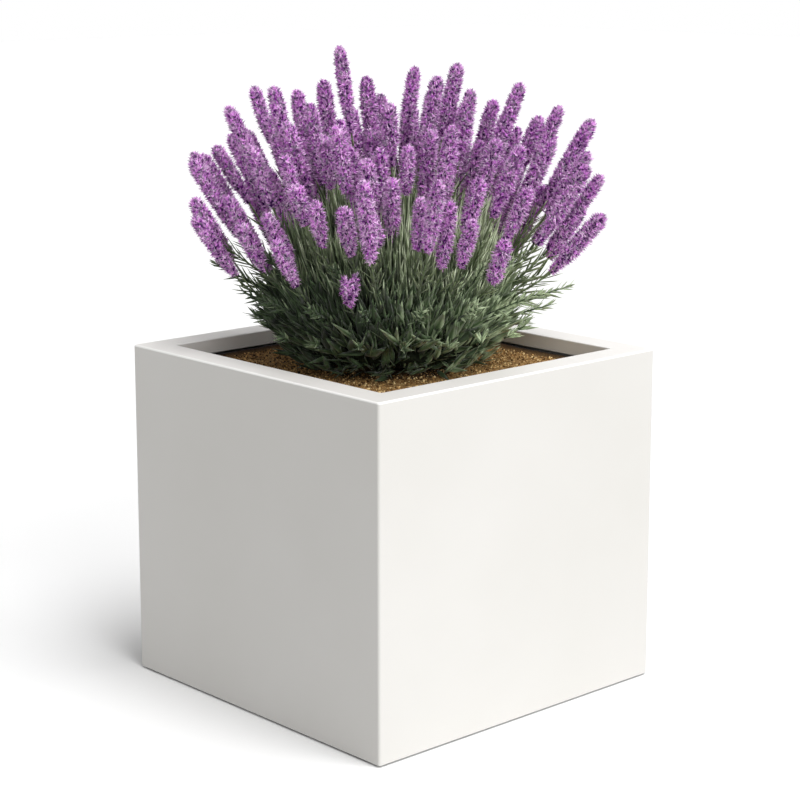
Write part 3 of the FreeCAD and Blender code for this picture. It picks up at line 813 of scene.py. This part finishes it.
# Flower spikes: hundreds of small violet florets set close round the end of each stalk. A floret is a
# tuft of three narrow pointed petals, with painted shade where they meet, paler towards their tips. A young
# spike is short and dark and parts in two.
petal_count = 3
petal_lean = math.radians(34)
floret_form = bmesh.new()
for petal in range(petal_count):
    bmesh.ops.create_cone(floret_form, cap_ends=True, segments=3, radius1=0.3, radius2=0, depth=1)
    petal_corners = floret_form.verts[-4:]
    bmesh.ops.translate(floret_form, verts=petal_corners, vec=upward * 0.5)
    bmesh.ops.rotate(floret_form, verts=petal_corners, cent=(0, 0, 0),
                     matrix=Matrix.Rotation(petal_lean, 3, "X"))
    bmesh.ops.rotate(floret_form, verts=petal_corners, cent=(0, 0, 0),
                     matrix=Matrix.Rotation(2 * math.pi * petal / petal_count, 3, "Z"))
floret_stamp = Stamp(floret_form, smooth=False)
core_stamp = Stamp(shaft(7, (0, 0.5), (0.12, 0.85), (0.5, 1), (0.86, 0.72), (0.97, 0.4)))

floret_violet = Finish("floret_violet", roughness=0.65, specular=0.3)
petals = floret_violet.ramp(floret_violet.painted("tone"), (0.0, tint(66, 6, 90)),
                            (0.3, tint(238, 84, 255)), (0.62, tint(255, 180, 255)),
                            (0.95, tint(255, 246, 255)))
specks = floret_violet.ramp(floret_violet.cloud(3.8 * mm, detail=1), (0.44, tint(66, 0, 96)),
                            (0.49, tint(255, 199, 255)))
floret_violet.colour(floret_violet.blended(0.58, petals, specks))

floret_draw = random.Random(59)
golden_turn = math.pi * (3 - math.sqrt(5))
spike_radius = 8.8 * mm
floret_pitch = 0.145 * mm
whorl_pitch = 11 * mm
florets_in_piece = 14500
bare_shares = {"inner": (0.03, 0.06, 0.1, 0.18, 0.28), "middle": (0.06, 0.14, 0.2, 0.26, 0.34),
               "outer": (0.02, 0.04, 0.08, 0.14, 0.24)}
young_length = 48 * mm
young_parting = Vector((0.68, 0.73, 0.25)) * 6.5 * mm
for band in ("inner", "middle", "outer"):
    spike_node = "flower_spikes_" + band
    batches = [bmesh.new()]
    count = 0
    for low, tip in axes(spike_node, 5):
        if count > florets_in_piece:
            batches.append(bmesh.new())
            count = 0
        spike_form = batches[-1]
        low = leant_out(low, tip)
        run = tip - low
        direction = run.normalized()
        young = run.length < young_length
        bare_share = 0 if young else floret_draw.choice(bare_shares[band])
        low += run * bare_share
        run -= run * bare_share + direction * 3 * mm
        core_reach = (3 if young else 5) * mm
        core_stamp.press(spike_form, laid_along(low, direction, run.length * 0.97, core_reach, core_reach),
                         tone=0.0)
        florets = round(run.length / floret_pitch)
        shade = floret_draw.uniform(-0.06, 0.06) - 0.35 * young
        plump = floret_draw.uniform(0.88, 1.1)
        foot = floret_draw.uniform(0.3, 0.7)
        whorls = run.length / whorl_pitch
        for floret in range(florets):
            share = ((floret + floret_draw.random()) / florets) ** 0.8
            swell = min(foot + 1.5 * share, 1.0, 1.24 - 0.34 * share)
            swell *= math.sqrt(max(0.0, 1 - max(0.0, (share - 0.9) / 0.105) ** 2))
            swell *= 1 + 0.05 * math.sin(2 * math.pi * whorls * share)
            outwards = around(direction, floret * golden_turn + floret_draw.gauss(0, 0.2))
            lobe = Vector()
            if young:
                parted = max(0.0, share - 0.3) / 0.7
                side = floret % 2 * 2 - 1
                swell = (0.25 + 1.5 * min(share, 0.5)) * (1 - 0.45 * parted) * (1 - parted ** 6)
                lobe = young_parting * parted * side
            lean = (outwards * (1.1 - 0.7 * share ** 6) + direction * (0.6 + 1.6 * share ** 8)
                    + Vector([floret_draw.gauss(0, 0.3) for side in range(3)])).normalized()
            size = floret_draw.uniform(2.9, 4.8) * mm
            reach = spike_radius * plump * swell - size * 0.55 + floret_draw.gauss(0, 0.4) * mm
            reach = max(reach, 0.4 * mm)
            floret_stamp.press(
                spike_form, laid_along(low + run * share + outwards * reach + lobe, lean, size, size, size,
                                       roll=floret_draw.uniform(0, 2)),
                shade + floret_draw.gauss(0.48, 0.66) - 0.3 * max(0.0, 1 - share / 0.25), painted_base_shade=0.5)
            count += 1
    for number, spike_form in enumerate(batches, start=1):
        piece("florets_%s_%d" % (band, number), spike_form, floret_violet, "planted_liner",
              "flower_purple", spike_node)


# Studio: a pale floor that keeps the planter's soft shadow, a plain pale world that fills the shaded
# side, and six broad lamps: one high, one at the right, two in front, a weak one behind and a wide one
# overhead. The camera stands a little above the bush and looks at the planter's near corner.
floor_reach = 14
camera_place = Vector((1814.3, -1654.8, 883.5)) * mm
aim = Vector((6.16, 6.71, 413.85)) * mm
fill_light = 0.22
floor_form = bmesh.new()
bmesh.ops.create_grid(floor_form, x_segments=1, y_segments=1, size=floor_reach)
floor_mesh = bpy.data.meshes.new("floor")
floor_form.to_mesh(floor_mesh)
floor_form.free()
floor = bpy.data.objects.new("floor", floor_mesh)
bpy.context.scene.collection.objects.link(floor)
pale_floor = Finish("pale_floor", roughness=1.0, specular=0.0)
pale_floor.colour(tint(188, 188, 188))
floor_mesh.materials.append(pale_floor.material)
bright = pale_floor.add("ShaderNodeBsdfDiffuse")
bright.inputs["Color"].default_value = (0.95, 0.95, 0.95, 1)
floor_mix = pale_floor.add("ShaderNodeMixShader")
pale_floor.feed(floor_mix.inputs[0], pale_floor.add("ShaderNodeLightPath").outputs["Is Camera Ray"])
pale_floor.feed(floor_mix.inputs[1], pale_floor.shader.outputs[0])
pale_floor.feed(floor_mix.inputs[2], bright.outputs[0])
pale_floor.feed(pale_floor.tree.nodes["Material Output"].inputs["Surface"], floor_mix.outputs[0])

world = bpy.data.worlds.new("pale_world")
world.use_nodes = True
bpy.context.scene.world = world
sky = world.node_tree
path = sky.nodes.new("ShaderNodeLightPath")
seen = path.outputs["Is Camera Ray"]
for name in ("Is Glossy Ray", "Is Transmission Ray"):
    higher = sky.nodes.new("ShaderNodeMath")
    higher.operation = "MAXIMUM"
    sky.links.new(seen, higher.inputs[0])
    sky.links.new(path.outputs[name], higher.inputs[1])
    seen = higher.outputs[0]
strength = sky.nodes.new("ShaderNodeMapRange")
strength.inputs["To Min"].default_value = fill_light
strength.inputs["To Max"].default_value = 1.0
sky.links.new(seen, strength.inputs["Value"])
sky.nodes["Background"].inputs["Color"].default_value = (1, 1, 1, 1)
sky.links.new(strength.outputs["Result"], sky.nodes["Background"].inputs["Strength"])

for name, towards, spread, share in (("high_lamp", (0.37, 0.1, 1), 32, 0.665),
                                     ("side_lamp", (0.93, 0.27, 0.26), 30, 0.235),
                                     ("front_lamp", (0.8, -0.22, 0.5), 24, 0.22),
                                     ("low_lamp", (0.5, -0.8, 0.28), 20, 0.118),
                                     ("back_lamp", (-0.35, 0.9, 0.2), 40, 0.09),
                                     ("overhead_lamp", (0, 0, 1), 110, 0.08)):
    lamp = bpy.data.objects.new(name, bpy.data.lights.new(name, "SUN"))
    bpy.context.scene.collection.objects.link(lamp)
    lamp.data.angle = math.radians(spread)
    lamp.data.energy = math.pi * share
    lamp.rotation_euler = Vector(towards).to_track_quat("Z", "Y").to_euler()

camera = bpy.data.objects.new("camera", bpy.data.cameras.new("camera"))
bpy.context.scene.collection.objects.link(camera)
camera.data.lens = 94.32
camera.data.sensor_width = 36
camera.data.shift_y = -0.075
camera.location = camera_place
camera.rotation_euler = (aim - camera.location).to_track_quat("-Z", "Y").to_euler()
bpy.context.scene.camera = camera
bpy.context.scene.view_settings.view_transform = "Standard"
